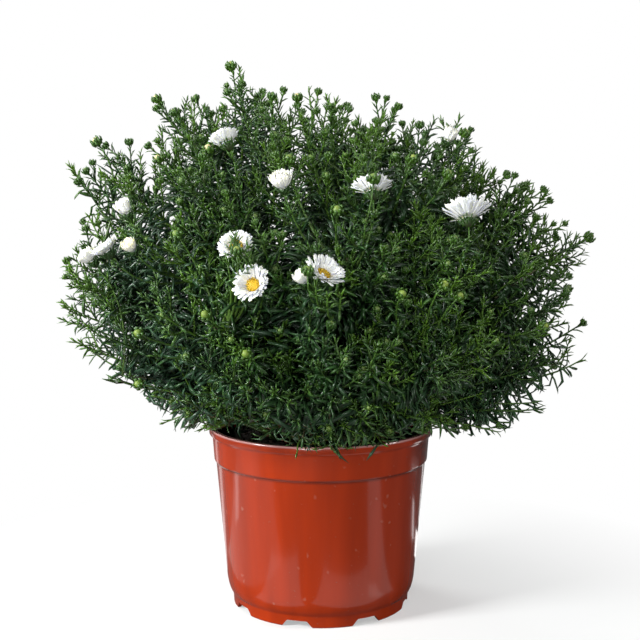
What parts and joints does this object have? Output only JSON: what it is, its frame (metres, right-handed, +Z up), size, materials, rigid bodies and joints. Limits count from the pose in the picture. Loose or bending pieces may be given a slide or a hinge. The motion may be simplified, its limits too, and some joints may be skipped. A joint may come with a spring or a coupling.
{
  "type": "potted aster",
  "caption": "Bushy aster with narrow leaves, small buds and white daisy flowers with yellow middles, in a round terracotta-red plastic nursery pot filled with dark soil.",
  "frame": {"origin": "centre of the pot's foot, on the surface that it stands on", "axes": "+Z up through the pot's axis to the top of the bush, +X to the right and -Y towards the viewer, as the plant is seen from its front"},
  "size_m": [0.4029, 0.3636, 0.4091],
  "materials": {
    "pot_plastic": "glossy",
    "soil": "rough",
    "aster_green": "satin",
    "petal_white": "matte",
    "disc_yellow": "matte"
  },
  "bodies": {
    "root": {"pot": "pot_plastic", "soil": "soil", "leafy_stem_01": "aster_green", "leafy_stem_02": "aster_green", "leafy_stem_03": "aster_green", "leafy_stem_04": "aster_green", "leafy_stem_05": "aster_green", "leafy_stem_06": "aster_green", "leafy_stem_07": "aster_green", "leafy_stem_08": "aster_green", "leafy_stem_09": "aster_green", "leafy_stem_10": "aster_green", "leafy_stem_11": "aster_green", "leafy_stem_12": "aster_green", "leafy_stem_13": "aster_green", "leafy_stem_14": "aster_green", "leafy_stem_15": "aster_green", "leafy_stem_16": "aster_green", "leafy_stem_17": "aster_green", "leafy_stem_18": "aster_green", "leafy_stem_19": "aster_green", "leafy_stem_20": "aster_green", "leafy_stem_21": "aster_green", "leafy_stem_22": "aster_green", "left_high_rays": "petal_white", "left_high_disc": "disc_yellow", "centre_right_high_rays": "petal_white", "centre_right_high_disc": "disc_yellow", "right_high_rays": "petal_white", "right_high_disc": "disc_yellow", "front_left_rays": "petal_white", "front_left_disc": "disc_yellow", "front_centre_rays": "petal_white", "front_centre_disc": "disc_yellow", "left_middle_rays": "petal_white", "left_middle_disc": "disc_yellow", "left_side_rays": "petal_white", "left_side_disc": "disc_yellow", "back_left_rays": "petal_white", "back_left_disc": "disc_yellow", "back_middle_rays": "petal_white", "back_middle_disc": "disc_yellow", "back_right_rays": "petal_white", "back_right_disc": "disc_yellow", "centre_left_high_rays": "petal_white", "left_upper_rays": "petal_white", "left_outer_rays": "petal_white", "right_upper_rays": "petal_white", "left_lower_rays": "petal_white", "front_small_rays": "petal_white"}
  },
  "joints": []
}
